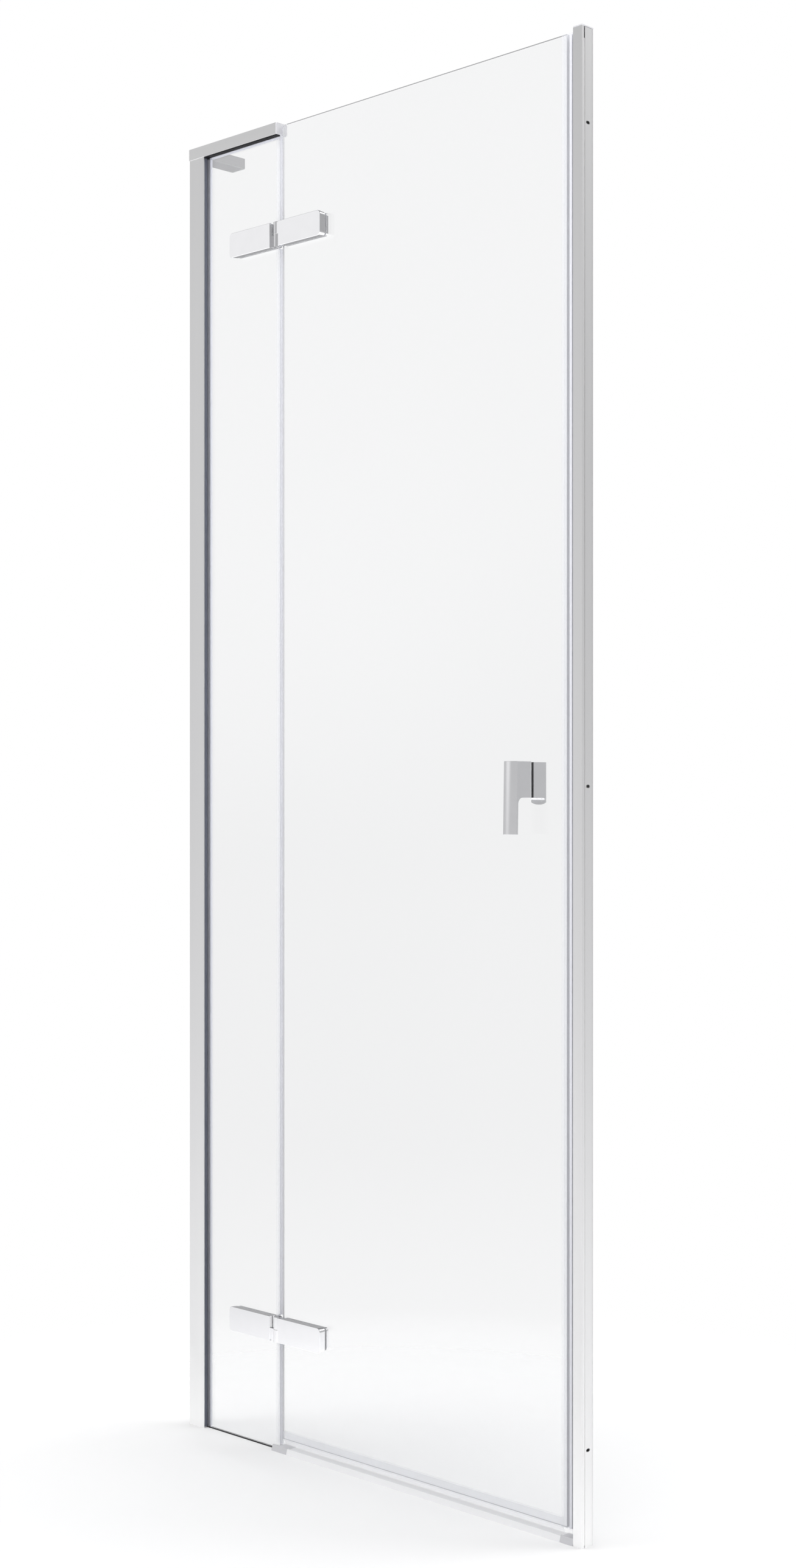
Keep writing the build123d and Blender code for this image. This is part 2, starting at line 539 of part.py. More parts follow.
def right_profile():
    """Channel screwed to the right wall, its cover, the top cap and the magnet strip that the door meets."""
    inner = PROFILE_BACK - WALL
    top = HEIGHT - RIGHT_CAP_THICK
    with BuildPart() as right_wall_channel:
        with BuildSketch():
            rect(RIGHT_CHANNEL_EDGE, RIGHT_WALL, RIGHT_CHANNEL_FRONT, RIGHT_CHANNEL_BACK)
            rect(
                RIGHT_CHANNEL_EDGE, RIGHT_WALL - WALL,
                RIGHT_CHANNEL_FRONT + WALL, RIGHT_CHANNEL_BACK - WALL, Mode.SUBTRACT,
            )
        extrude(amount=top - RIGHT_CHANNEL_DROP)
        wall_slots(RIGHT_WALL)
        web_back = RIGHT_CHANNEL_BACK
        back_holes(RIGHT_SCREW_X, COVER_SCREW_HEIGHTS, COVER_SCREW_RADIUS, web_back - WALL, web_back)
    save(right_wall_channel, "right_wall_channel")

    with BuildPart() as right_cover_profile:
        with BuildSketch():
            rect(RIGHT_COVER_LEFT, RIGHT_WALL, PROFILE_FRONT, -inner)
            rect(RIGHT_WALL - WALL, RIGHT_WALL, PROFILE_FRONT, RIGHT_RETURN_BACK)
            rect(RIGHT_COVER_LEFT, RIGHT_COVER_LEFT + WALL, PROFILE_FRONT, PROFILE_BACK)
            rect(RIGHT_COVER_LEFT, RIGHT_BACK_EDGE, inner, PROFILE_BACK)
            box_half = RECEIVER_SLOT + RECEIVER_BOX_WALL
            slot_back = RECEIVER_SLOT_BACK - RECEIVER_BOX_WALL
            rect(RIGHT_COVER_LEFT + WALL, RECEIVER_SLOT_BACK, -box_half, box_half)
            rect(RIGHT_COVER_LEFT + WALL, slot_back, -RECEIVER_SLOT, RECEIVER_SLOT, Mode.SUBTRACT)
            rect(RIGHT_COVER_LEFT, RIGHT_COVER_LEFT + WALL, -RECEIVER_NECK, RECEIVER_NECK, Mode.SUBTRACT)
        extrude(amount=top)
        back_holes(RIGHT_SCREW_X, COVER_SCREW_HEIGHTS, COVER_SCREW_RADIUS, inner, PROFILE_BACK)
    save(right_cover_profile, "right_cover_profile")

    with BuildPart() as right_top_cap:
        with BuildSketch(Plane.XZ.offset(-PROFILE_BACK)) as face:
            rect(RIGHT_COVER_LEFT, RIGHT_WALL, top, HEIGHT)
            fillet(face.vertices().sort_by(Axis.X)[:2].sort_by(Axis.Z)[-1], RIGHT_CAP_CORNER)
        extrude(amount=PROFILE_DEPTH)
        tongue_left = RIGHT_COVER_LEFT + WALL + SLIDE
        with BuildSketch(Plane.XY.offset(top)):
            rect(tongue_left, RECEIVER_SLOT_BACK, RIGHT_CAP_TONGUE_BACK, inner - SLIDE)
            rect(tongue_left, RECEIVER_SLOT_BACK, SLIDE - inner, RIGHT_CAP_TONGUE_FRONT)
        extrude(amount=-RIGHT_CAP_TONGUE)
    save(right_top_cap, "right_top_cap")

    with BuildPart() as right_cover_screws:
        for z in COVER_SCREW_HEIGHTS:
            pan_screw(RIGHT_SCREW_X, PROFILE_BACK, z, COVER_SCREW_REACH)
    save(right_cover_screws, "right_cover_screws")

    half = MAGNET_WIDTH / 2
    with BuildPart() as magnet_receiver:
        root_back = RECEIVER_SLOT_BACK - RECEIVER_BOX_WALL - SLIDE
        with BuildSketch(Plane.XY.offset(RECEIVER_BOTTOM)):
            rect(RECEIVER_LEFT, RIGHT_COVER_LEFT, -RECEIVER_HALF, RECEIVER_HALF)
            rect(RIGHT_COVER_LEFT, root_back, SLIDE - RECEIVER_NECK, RECEIVER_NECK - SLIDE)
            rect(RIGHT_COVER_LEFT + WALL + SLIDE, root_back, SLIDE - RECEIVER_SLOT, RECEIVER_SLOT - SLIDE)
            rect(RECEIVER_FENCE_LEFT, RIGHT_COVER_LEFT, RECEIVER_HALF, RECEIVER_FENCE)
            rect(RECEIVER_FIN_LEFT, RIGHT_COVER_LEFT, RECEIVER_FENCE - SEAL_WALL, RECEIVER_FENCE)
            rect(RECEIVER_POCKET, RECEIVER_POCKET + MAGNET_THICK, -half, half, Mode.SUBTRACT)
        extrude(amount=DOOR_TOP - RECEIVER_BOTTOM)
    save(magnet_receiver, "magnet_receiver")

    with BuildPart() as receiver_magnet:
        with BuildSketch(Plane.XY.offset(DOOR_GLASS_BOTTOM)):
            rect(RECEIVER_POCKET, RECEIVER_POCKET + MAGNET_THICK, -half, half)
        extrude(amount=DOOR_TOP - DOOR_GLASS_BOTTOM - MAGNET_END_GAP)
    save(receiver_magnet, "receiver_magnet")


def clamp_places(leaf_left):
    """X of the two clamp screws of a hinge leaf."""
    middle = leaf_left + HINGE_LEAF / 2
    return (middle - CLAMP_PITCH / 2, middle + CLAMP_PITCH / 2)


def leaf_outline(left, centre, y, inset, free_end):
    """Leaf outline on the plane at depth y: rounded at its free end, nearly square at the knuckle."""
    with BuildSketch(through_glass(y, centre)) as outline:
        rect(left + inset, left + HINGE_LEAF - inset, inset - HINGE_HEIGHT / 2, HINGE_HEIGHT / 2 - inset)
        corners = outline.vertices().group_by(Axis.X)
        fillet(corners[free_end], HINGE_END_RADIUS - inset)
    return outline.sketch


def draft_at(y):
    """How far the tapered hinge sides have drawn in at depth y."""
    return (y - HINGE_FRONT) * tan(radians(HINGE_DRAFT))


def hinge_leaf(side, name, left, centre, free_end, body_extras):
    """One clamped leaf: body, pads on both faces of the glass, back plate and two screws."""
    places = clamp_places(left)
    with BuildPart() as body:
        face = leaf_outline(left, centre, HINGE_FRONT, 0.0, free_end)
        extrude(face, amount=HINGE_BODY_BACK - HINGE_FRONT, taper=HINGE_DRAFT)
        chamfer(body.faces().sort_by(Axis.Y)[0].edges(), HINGE_EDGE)
        with BuildSketch(through_glass(HINGE_BODY_BACK, centre)):
            with Locations(*[(x, 0) for x in places]):
                Circle(CLAMP_SCREW_RADIUS)
        extrude(amount=HINGE_BACK - CLAMP_SCREW_LENGTH - HINGE_BODY_BACK, mode=Mode.SUBTRACT)
        body_extras(centre)
    save(body, f"{name}_hinge_{side}_body")

    with BuildPart() as pads:
        front_inset = draft_at(HINGE_BODY_BACK) + PAD_INSET
        extrude(leaf_outline(left, centre, HINGE_BODY_BACK, front_inset, free_end), amount=HINGE_PAD)
        with BuildSketch(through_glass(GLASS_FRONT, centre)):
            with Locations(*[(x, 0) for x in places]):
                Circle(CLAMP_HOLE_RADIUS)
        extrude(amount=GLASS)
        back_inset = draft_at(GLASS_BACK) + PAD_INSET
        extrude(leaf_outline(left, centre, GLASS_BACK, back_inset, free_end), amount=HINGE_PAD)
        with BuildSketch(through_glass(HINGE_BODY_BACK, centre)):
            with Locations(*[(x, 0) for x in places]):
                Circle(CLAMP_SCREW_RADIUS)
        extrude(amount=HINGE_PLATE_FRONT - HINGE_BODY_BACK, mode=Mode.SUBTRACT)
    save(pads, f"{name}_hinge_{side}_pads")

    with BuildPart() as plate:
        face = leaf_outline(left, centre, HINGE_PLATE_FRONT, draft_at(HINGE_PLATE_FRONT), free_end)
        extrude(face, amount=HINGE_PLATE, taper=HINGE_DRAFT)
        with Locations(*[Location((x, HINGE_BACK, centre), (-90, 0, 0)) for x in places]):
            CounterSinkHole(CLAMP_SCREW_RADIUS, CLAMP_HEAD_RADIUS, HINGE_PLATE)
    save(plate, f"{name}_hinge_{side}_plate")

    with BuildPart() as screws:
        for x in places:
            with BuildSketch(Plane(origin=(x, HINGE_BACK, centre), x_dir=(1, 0, 0), z_dir=(0, 0, 1))):
                with BuildLine():
                    Polyline(
                        (0, -CLAMP_SCREW_LENGTH), (CLAMP_SCREW_RADIUS, -CLAMP_SCREW_LENGTH),
                        (CLAMP_SCREW_RADIUS, -CLAMP_HEAD_NECK), (CLAMP_HEAD_TOP, -CLAMP_HEAD_SUNK),
                        (0, -CLAMP_HEAD_SUNK), close=True,
                    )
                make_face()
            revolve(axis=Axis((x, HINGE_BACK, centre), (0, 1, 0)))
            with BuildSketch(through_glass(HINGE_BACK - HEX_SOCKET_DEPTH, centre)):
                with Locations((x, 0)):
                    RegularPolygon(HEX_SOCKET_RADIUS, 6, major_radius=False)
            extrude(amount=HEX_SOCKET_DEPTH, mode=Mode.SUBTRACT)
    save(screws, f"{name}_hinge_{side}_screws")


def axis_post(low, high, radius, mode=Mode.ADD):
    """Cylinder on the hinge axis between two heights."""
    with BuildSketch(Plane.XY.offset(low)) as disc:
        with Locations((HINGE_AXIS_X, HINGE_AXIS_Y)):
            Circle(radius)
    extrude(disc.sketch, amount=high - low, mode=mode)


def fixed_knuckle(centre):
    """Lower half of the barrel, joined to the fixed leaf by a recessed neck."""
    low = centre - HINGE_HEIGHT / 2
    with BuildSketch(Plane.XY.offset(low + NECK_INSET)) as neck:
        rect(FIXED_LEAF_LEFT + HINGE_LEAF - KNUCKLE_ROOT, HINGE_AXIS_X, NECK_FRONT, NECK_BACK)
    extrude(neck.sketch, amount=centre - KNUCKLE_GAP - low - NECK_INSET)
    axis_post(low, centre - KNUCKLE_GAP, KNUCKLE_RADIUS)
    axis_post(low, centre, HINGE_PIN_RADIUS, Mode.SUBTRACT)


def door_knuckle(centre):
    """Upper half of the barrel, joined to the door leaf and bored for the bush."""
    low = centre + KNUCKLE_GAP
    high = centre + HINGE_HEIGHT / 2
    with BuildSketch(Plane.XY.offset(low)) as neck:
        rect(HINGE_AXIS_X, DOOR_LEAF_LEFT + KNUCKLE_ROOT, DOOR_NECK_FRONT, HINGE_BODY_BACK)
    extrude(neck.sketch, amount=high - low - NECK_INSET)
    axis_post(low, high, KNUCKLE_RADIUS)
    axis_post(low, high - BARREL_TOP_WALL, BUSH_RADIUS, Mode.SUBTRACT)


def hinge(name, centre):
    """One glass-to-glass hinge: two clamped leaves, the pin in the fixed one and the bush in the other."""
    hinge_leaf("fixed", name, FIXED_LEAF_LEFT, centre, 0, fixed_knuckle)
    hinge_leaf("door", name, DOOR_LEAF_LEFT, centre, -1, door_knuckle)

    low = centre - HINGE_HEIGHT / 2
    high = centre + HINGE_HEIGHT / 2 - BARREL_TOP_WALL
    with BuildPart() as pin:
        axis_post(low + PIN_INSET, high - PIN_TOP_GAP, HINGE_PIN_RADIUS)
    save(pin, f"{name}_hinge_pin")

    with BuildPart() as bush:
        axis_post(centre + KNUCKLE_GAP, high, BUSH_RADIUS)
        flange = KNUCKLE_RADIUS - BUSH_FLANGE_INSET
        axis_post(centre - KNUCKLE_GAP + BUSH_FLANGE_FIT, centre + KNUCKLE_GAP, flange)
        axis_post(low, high, HINGE_PIN_RADIUS + BUSH_CLEARANCE, Mode.SUBTRACT)
    save(bush, f"{name}_hinge_bush")


def door_pane():
    """Door glass with its clamp and handle holes, the drip seal below it and the magnet seal on its edge."""
    with BuildPart() as door_glass:
        with BuildSketch(through_glass(GLASS_FRONT)):
            rect(DOOR_GLASS_LEFT, DOOR_GLASS_RIGHT, -DOOR_TOP, -DOOR_GLASS_BOTTOM)
            for z in HINGE_CENTRES.values():
                with Locations(*[(x, -z) for x in clamp_places(DOOR_LEAF_LEFT)]):
                    Circle(CLAMP_HOLE_RADIUS, mode=Mode.SUBTRACT)
            with Locations(*[(HANDLE_X, -z) for z in STUD_HEIGHTS]):
                Circle(STUD_HOLE_RADIUS, mode=Mode.SUBTRACT)
        extrude(amount=GLASS)
    save(door_glass, "door_glass")

    skin = GLASS_BACK + SEAL_SKIN
    with BuildPart() as drip_seal:
        with BuildSketch(Plane.YZ.offset(DRIP_SEAL_LEFT)):
            rect(-skin, skin, DRIP_SEAL_BOTTOM, DRIP_SEAL_TOP)
            rect(GLASS_FRONT, GLASS_BACK, DOOR_GLASS_BOTTOM, DRIP_SEAL_TOP, Mode.SUBTRACT)
            with BuildLine():
                Polyline(
                    (DRIP_FIN_FRONT, DRIP_FIN_ROOT), (DRIP_FIN_FRONT + DRIP_FIN_THICK, DRIP_FIN_ROOT),
                    (DRIP_FIN_FRONT + DRIP_FIN_THICK + DRIP_FIN_LEAN, DRIP_FIN_TIP),
                    (DRIP_FIN_FRONT + DRIP_FIN_LEAN, DRIP_FIN_TIP), close=True,
                )
            make_face()
        extrude(amount=MAGNET_SEAL_LEFT - SEAL_END_GAP - DRIP_SEAL_LEFT)
    save(drip_seal, "drip_seal")

    half = MAGNET_WIDTH / 2
    magnet_left = MAGNET_SEAL_RIGHT - SEAL_WALL - MAGNET_THICK
    with BuildPart() as magnet_seal:
        with BuildSketch(Plane.XY.offset(DRIP_SEAL_BOTTOM)):
            rect(MAGNET_SEAL_LEFT, DOOR_GLASS_RIGHT + SEAL_WALL, -skin, skin)
            rect(MAGNET_SEAL_LEFT, DOOR_GLASS_RIGHT, GLASS_FRONT, GLASS_BACK, Mode.SUBTRACT)
            rect(DOOR_GLASS_RIGHT, MAGNET_SEAL_RIGHT, -half - SEAL_WALL, half + SEAL_WALL)
            rect(DOOR_GLASS_RIGHT + SEAL_WALL, magnet_left - SEAL_WALL, -half, half, Mode.SUBTRACT)
            rect(magnet_left, MAGNET_SEAL_RIGHT - SEAL_WALL, -half, half, Mode.SUBTRACT)
        extrude(amount=DOOR_TOP - DRIP_SEAL_BOTTOM)
        with BuildSketch(Plane.XY.offset(DRIP_SEAL_BOTTOM)):
            rect(MAGNET_SEAL_LEFT, DOOR_GLASS_RIGHT, GLASS_FRONT, GLASS_BACK)
        extrude(amount=SEAL_WALL)
    save(magnet_seal, "magnet_seal")

    with BuildPart() as door_magnet:
        with BuildSketch(Plane.XY.offset(DOOR_GLASS_BOTTOM)):
            rect(magnet_left, MAGNET_SEAL_RIGHT - SEAL_WALL, -half, half)
        extrude(amount=DOOR_TOP - DOOR_GLASS_BOTTOM - MAGNET_END_GAP)
    save(door_magnet, "door_magnet")


def crowned_section(z, front):
    """Section of the grip at height z, its front face bowed across the width and bevelled at both sides."""
    back = front + HANDLE_GRIP_THICK
    with BuildSketch(Plane.XY.offset(z)) as section:
        with BuildLine():
            shoulder = front + HANDLE_CROWN
            left, right = HANDLE_LEFT + HANDLE_BEVEL, HANDLE_RIGHT - HANDLE_BEVEL
            ThreePointArc((left, shoulder), (HANDLE_X, front), (right, shoulder))
            Polyline(
                (right, shoulder), (HANDLE_RIGHT, shoulder + HANDLE_BEVEL), (HANDLE_RIGHT, back),
                (HANDLE_LEFT, back), (HANDLE_LEFT, shoulder + HANDLE_BEVEL), (left, shoulder),
            )
        make_face()
    return section.sketch


def arm_underside(builder):
    """Edges along X at the height of the handle arm's underside."""
    return builder.edges().filter_by(Axis.X).filter_by_position(
        Axis.Z, HANDLE_ARM_BOTTOM - SLIDE, HANDLE_ARM_BOTTOM + SLIDE,
    )


def handle():
    """Through-glass handle: arm and hanging grip outside, short pull inside, pads and two studs."""
    pad_front = GLASS_FRONT - HANDLE_PAD
    pad_back = GLASS_BACK + HANDLE_PAD
    with BuildPart() as handle_outer:
        loft([
            crowned_section(HANDLE_GRIP_BOTTOM, HANDLE_REACH - HANDLE_LEAN),
            crowned_section(HANDLE_TOP, HANDLE_REACH),
        ])
        with BuildSketch(Plane.XY.offset(HANDLE_ARM_BOTTOM)):
            rect(HANDLE_LEFT, HANDLE_RIGHT, HANDLE_ARM_START, pad_front)
        extrude(amount=HANDLE_TOP - HANDLE_ARM_BOTTOM)
        fillet(arm_underside(handle_outer).sort_by(Axis.Y)[0], HANDLE_CREASE)
        with BuildSketch(through_glass(pad_front)):
            with Locations(*[(HANDLE_X, -z) for z in STUD_HEIGHTS]):
                Circle(STUD_RADIUS)
        extrude(amount=-STUD_BORE_DEPTH, mode=Mode.SUBTRACT)
    save(handle_outer, "handle_outer")

    with BuildPart() as handle_inner:
        with BuildSketch(Plane.YZ.offset(HANDLE_LEFT)) as side:
            rect(pad_back, HANDLE_INNER_REACH, HANDLE_ARM_BOTTOM, HANDLE_INNER_TOP)
            tab_front = HANDLE_INNER_REACH - HANDLE_TAB_THICK
            rect(tab_front, HANDLE_INNER_REACH, HANDLE_TAB_BOTTOM, HANDLE_INNER_TOP)
        extrude(amount=HANDLE_RIGHT - HANDLE_LEFT)
        fillet(arm_underside(handle_inner).sort_by(Axis.Y)[-1], HANDLE_TAB_CREASE)
        ends = HANDLE_TAB_BOTTOM + HANDLE_TAB_BOW
        past = HANDLE_TAB_BOTTOM - HANDLE_CUT_PAST
        with BuildSketch(through_glass(HANDLE_INNER_REACH + HANDLE_CUT_PAST)):
            with BuildLine():
                left, right = (HANDLE_LEFT, -ends), (HANDLE_RIGHT, -ends)
                ThreePointArc(left, (HANDLE_X, -HANDLE_TAB_BOTTOM), right)
                Polyline(right, (HANDLE_RIGHT, -past), (HANDLE_LEFT, -past), left)
            make_face()
        extrude(amount=-HANDLE_TAB_THICK - HANDLE_TAB_CREASE - 2 * HANDLE_CUT_PAST, mode=Mode.SUBTRACT)
        with BuildSketch(through_glass(pad_back)):
            with Locations(*[(HANDLE_X, -z) for z in STUD_HEIGHTS]):
                Circle(STUD_RADIUS)
        extrude(amount=STUD_BORE_DEPTH, mode=Mode.SUBTRACT)
    save(handle_inner, "handle_inner")

    for node, y, top in (
        ("handle_outer_pad", pad_front, HANDLE_TOP),
        ("handle_inner_pad", GLASS_BACK, HANDLE_INNER_TOP),
    ):
        with BuildPart() as pad:
            with BuildSketch(through_glass(y)):
                inset = HANDLE_PAD_INSET
                rect(HANDLE_LEFT + inset, HANDLE_RIGHT - inset, inset - top, -HANDLE_ARM_BOTTOM - inset)
                with Locations(*[(HANDLE_X, -z) for z in STUD_HEIGHTS]):
                    Circle(STUD_RADIUS, mode=Mode.SUBTRACT)
            extrude(amount=HANDLE_PAD)
        save(pad, node)

    with BuildPart() as handle_studs:
        with BuildSketch(through_glass(pad_front - STUD_LENGTH_EACH_WAY)):
            with Locations(*[(HANDLE_X, -z) for z in STUD_HEIGHTS]):
                Circle(STUD_RADIUS)
        extrude(amount=2 * STUD_LENGTH_EACH_WAY + pad_back - pad_front)
    save(handle_studs, "handle_studs")


os.makedirs("parts", exist_ok=True)
left_profile()
top_rail()
fixed_pane()
sill()
right_profile()
for hinge_name, hinge_centre in HINGE_CENTRES.items():
    hinge(hinge_name, hinge_centre)
door_pane()
handle()
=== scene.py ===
import json
import math
import bpy
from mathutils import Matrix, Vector

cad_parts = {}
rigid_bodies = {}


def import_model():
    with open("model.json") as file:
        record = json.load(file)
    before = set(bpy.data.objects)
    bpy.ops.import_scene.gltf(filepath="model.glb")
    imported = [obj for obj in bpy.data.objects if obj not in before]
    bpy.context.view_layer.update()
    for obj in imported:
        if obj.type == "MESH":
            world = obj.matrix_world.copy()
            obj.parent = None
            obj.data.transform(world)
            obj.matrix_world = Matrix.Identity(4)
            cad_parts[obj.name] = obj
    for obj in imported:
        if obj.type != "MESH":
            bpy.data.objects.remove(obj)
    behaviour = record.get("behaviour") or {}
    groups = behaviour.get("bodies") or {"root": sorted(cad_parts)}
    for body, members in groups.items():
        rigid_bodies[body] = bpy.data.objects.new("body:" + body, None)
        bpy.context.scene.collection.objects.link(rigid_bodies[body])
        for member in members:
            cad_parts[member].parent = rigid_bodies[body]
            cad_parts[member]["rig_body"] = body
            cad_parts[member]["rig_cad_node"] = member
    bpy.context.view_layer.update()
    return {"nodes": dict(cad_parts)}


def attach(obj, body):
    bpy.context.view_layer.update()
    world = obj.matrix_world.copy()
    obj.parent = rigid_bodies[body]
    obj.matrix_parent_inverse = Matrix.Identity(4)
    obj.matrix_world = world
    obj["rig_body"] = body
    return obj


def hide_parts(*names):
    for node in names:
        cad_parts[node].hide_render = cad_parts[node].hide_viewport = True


# Pivot shower door: finishes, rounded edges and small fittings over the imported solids.
# Metres. X runs from the left wall to the right wall, Y from the room into the shower, Z up from the tray.

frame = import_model()

# Camera, worked out from the vanishing points of the straight extrusions
CAMERA_PLACE = (2.1716, -2.1446, 0.9702)
CAMERA_YAW = math.radians(44.72)
CAMERA_LENS = 49.75
CAMERA_SENSOR = 36.0
CAMERA_SHIFT_Y = 0.0039

# Studio. The room's greys run from straight down to straight up, at the sides and behind the door.
FLOOR_RADIUS = 3.0
FLOOR_SIDES = 96
FLOOR_FADE = (0.1, 1.05)
FLOOR_DARK = (0.925, 0.925, 0.93)
FLOOR_LIGHT = (0.94, 0.94, 0.94)
# Glow of the floor seen only in glossy reflections, a painted reflection
FLOOR_MIRRORED_GLOW = 0.38
ROOM_SIDES = (
    (0.0, 1.70), (0.345, 1.58), (0.372, 1.02), (0.42, 0.57), (0.51, 0.59),
    (0.58, 0.46), (0.66, 0.45), (0.80, 0.32), (1.0, 0.22),
)
ROOM_BEHIND = ((0.0, 0.40), (0.38, 0.36), (0.5, 0.50), (0.60, 0.34), (0.75, 0.28), (1.0, 0.20))
BEHIND = (-0.703, 0.711, 0.0)
SOFT_BOXES = (
    ((-0.727, -0.637, 0.259), (0.955, 0.993), 0.50),
    ((0.40, 0.62, 0.68), (0.905, 0.98), 1.6),
)

# Lamps: name, place, point aimed at, size and power in watts
LAMPS = (
    ("overhead", (0.0, -0.4, 4.2), (0.0, 0.0, 0.0), (4.5, 4.5), 150.0),
    ("left_front", (-2.6, -3.2, 2.4), (0.0, 0.0, 0.9), (2.0, 2.4), 25.0),
    ("right_rear", (2.8, 2.6, 2.2), (0.0, 0.0, 0.9), (2.0, 2.4), 25.0),
)

# Edge radii, angles and small distances, in metres and radians
EXTRUSION_EDGE = 0.0003
MOULDED_EDGE = 0.0005
HINGE_EDGE = 0.0004
GLASS_ARRIS = 0.0005
SEAL_EDGE = 0.0002
CLEAR_GAP = 0.00003
MERGE_GAP = 0.000002
FLAT_ANGLE = math.radians(1)
SHARP_ANGLE = math.radians(40)
SMOOTH_ANGLE = math.radians(35)
CLEAR_FINISHES = ("glass", "clear_seal")
GROUND_EDGE = 0.9  # upright pane edges face sideways by at least this much

# Lip in the joint of the right profile
JOINT_LIP_MIDDLE = (0.38905, -0.00654, 0.968)
JOINT_LIP_SIZE = (0.0011, 0.00178, 1.93)
LIP_LEG = 0.0022
LIP_HOOK = 0.0016

# Noise values that count as the lowest and highest, and the depth of the drawn grain
NOISE_LOW = 0.3
NOISE_HIGH = 0.7
GRAIN_DEPTH = 0.000002

# Tints of the panes and of the clear seals
PANE_DARK = (0.905, 0.908, 0.912)
PANE_LIGHT = (0.918, 0.921, 0.925)
PANE_SHADOW = (0.93, 0.94, 0.94)
SEAL_DARK = (0.76, 0.77, 0.82)
SEAL_LIGHT = (0.80, 0.81, 0.86)
SEAL_CLOUD = 0.16
SEAL_STRETCH = (1.0, 1.0, 0.02)
SEAL_LINES = 500.0

HINGES = ("upper", "lower")


def nothing_selected():
    """Leaves no object selected, so that an operator acts on one piece alone."""
    if bpy.context.object is not None and bpy.context.object.mode != "OBJECT":
        bpy.ops.object.mode_set(mode="OBJECT")
    bpy.ops.object.select_all(action="DESELECT")


def take(piece):
    """Makes one piece the selected and active one."""
    nothing_selected()
    piece.select_set(True)
    bpy.context.view_layer.objects.active = piece


# Shader building


def add(tree, kind, values=None, **settings):
    """A node with some settings and input values."""
    node = tree.nodes.new(kind)
    for name, value in settings.items():
        setattr(node, name, value)
    for name, value in (values or {}).items():
        node.inputs[name].default_value = value
    return node


def effect(name, inputs, outputs):
    """A shader node group with its sockets, and its two end nodes."""
    group = bpy.data.node_groups.new(name, "ShaderNodeTree")
    for label, kind, value in inputs:
        socket = group.interface.new_socket(label, in_out="INPUT", socket_type=kind)
        if value is not None:
            socket.default_value = value
    for label, kind in outputs:
        group.interface.new_socket(label, in_out="OUTPUT", socket_type=kind)
    return group, group.nodes.new("NodeGroupInput"), group.nodes.new("NodeGroupOutput")


def drawn_grain():
    """Fine lines along an extrusion, and slow changes of tone from the anodising bath."""
    group, given, result = effect(
        "drawn_grain",
        [("Vector", "NodeSocketVector", None), ("Lines", "NodeSocketFloat", 900.0)],
        [("Line", "NodeSocketFloat"), ("Cloud", "NodeSocketFloat")],
    )
    line = add(group, "ShaderNodeTexNoise", {"Detail": 3.0, "Roughness": 0.6})
    cloud = add(group, "ShaderNodeTexNoise", {"Scale": 40.0, "Detail": 2.0})
    group.links.new(given.outputs["Vector"], line.inputs["Vector"])
    group.links.new(given.outputs["Lines"], line.inputs["Scale"])
    group.links.new(given.outputs["Vector"], cloud.inputs["Vector"])
    group.links.new(line.outputs["Fac"], result.inputs["Line"])
    group.links.new(cloud.outputs["Fac"], result.inputs["Cloud"])
    return group


def moulded_skin():
    """Fine speckle of a moulded or plated skin, with slow waves under it."""
    group, given, result = effect(
        "moulded_skin",
        [
            ("Vector", "NodeSocketVector", None),
            ("Grain", "NodeSocketFloat", 1500.0),
            ("Waves", "NodeSocketFloat", 60.0),
        ],
        [("Speckle", "NodeSocketFloat"), ("Wave", "NodeSocketFloat")],
    )
    speckle = add(group, "ShaderNodeTexNoise", {"Detail": 2.0})
    wave = add(group, "ShaderNodeTexNoise", {"Detail": 1.0})
    for node, scale in ((speckle, "Grain"), (wave, "Waves")):
        group.links.new(given.outputs["Vector"], node.inputs["Vector"])
        group.links.new(given.outputs[scale], node.inputs["Scale"])
    group.links.new(speckle.outputs["Fac"], result.inputs["Speckle"])
    group.links.new(wave.outputs["Fac"], result.inputs["Wave"])
    return group


DRAWN_GRAIN = drawn_grain()
MOULDED_SKIN = moulded_skin()


def surface(name, **values):
    """A material with one Principled shader, its plain values set, and its Object coordinates."""
    material = bpy.data.materials.new(name)
    material.use_nodes = True
    tree = material.node_tree
    tree.nodes.clear()
    shader = add(tree, "ShaderNodeBsdfPrincipled", values)
    output = add(tree, "ShaderNodeOutputMaterial")
    tree.links.new(shader.outputs["BSDF"], output.inputs["Surface"])
    place = add(tree, "ShaderNodeTexCoord")
    return material, tree, shader, place.outputs["Object"]


def between(tree, source, low, high):
    """The source value spread from low to high."""
    spread = {"From Min": NOISE_LOW, "From Max": NOISE_HIGH, "To Min": low, "To Max": high}
    node = add(tree, "ShaderNodeMapRange", spread)
    tree.links.new(source, node.inputs["Value"])
    return node.outputs["Result"]


def tones(tree, source, dark, light):
    """A colour between two tones, by the source value."""
    node = add(tree, "ShaderNodeMix", data_type="RGBA")
    node.inputs["A"].default_value = (*dark, 1.0)
    node.inputs["B"].default_value = (*light, 1.0)
    tree.links.new(source, node.inputs["Factor"])
    return node.outputs["Result"]


def relief(tree, shader, source, height, strength=1.0):
    """A bump of some height on the shader's normal."""
    node = add(tree, "ShaderNodeBump", {"Strength": strength, "Distance": height})
    tree.links.new(source, node.inputs["Height"])
    tree.links.new(node.outputs["Normal"], shader.inputs["Normal"])


def extruded_metal(name, stretch, dark, light, metallic=1.0):
    """Satin anodised extrusion, its grain drawn out along one axis."""
    material, tree, shader, place = surface(name, Metallic=metallic)
    turned = add(tree, "ShaderNodeMapping", {"Scale": stretch})
    grain = add(tree, "ShaderNodeGroup", node_tree=DRAWN_GRAIN)
    tree.links.new(place, turned.inputs["Vector"])
    tree.links.new(turned.outputs["Vector"], grain.inputs["Vector"])
    tree.links.new(tones(tree, grain.outputs["Cloud"], dark, light), shader.inputs["Base Color"])
    tree.links.new(between(tree, grain.outputs["Line"], *SATIN_ROUGH), shader.inputs["Roughness"])
    relief(tree, shader, grain.outputs["Line"], GRAIN_DEPTH)
    return material


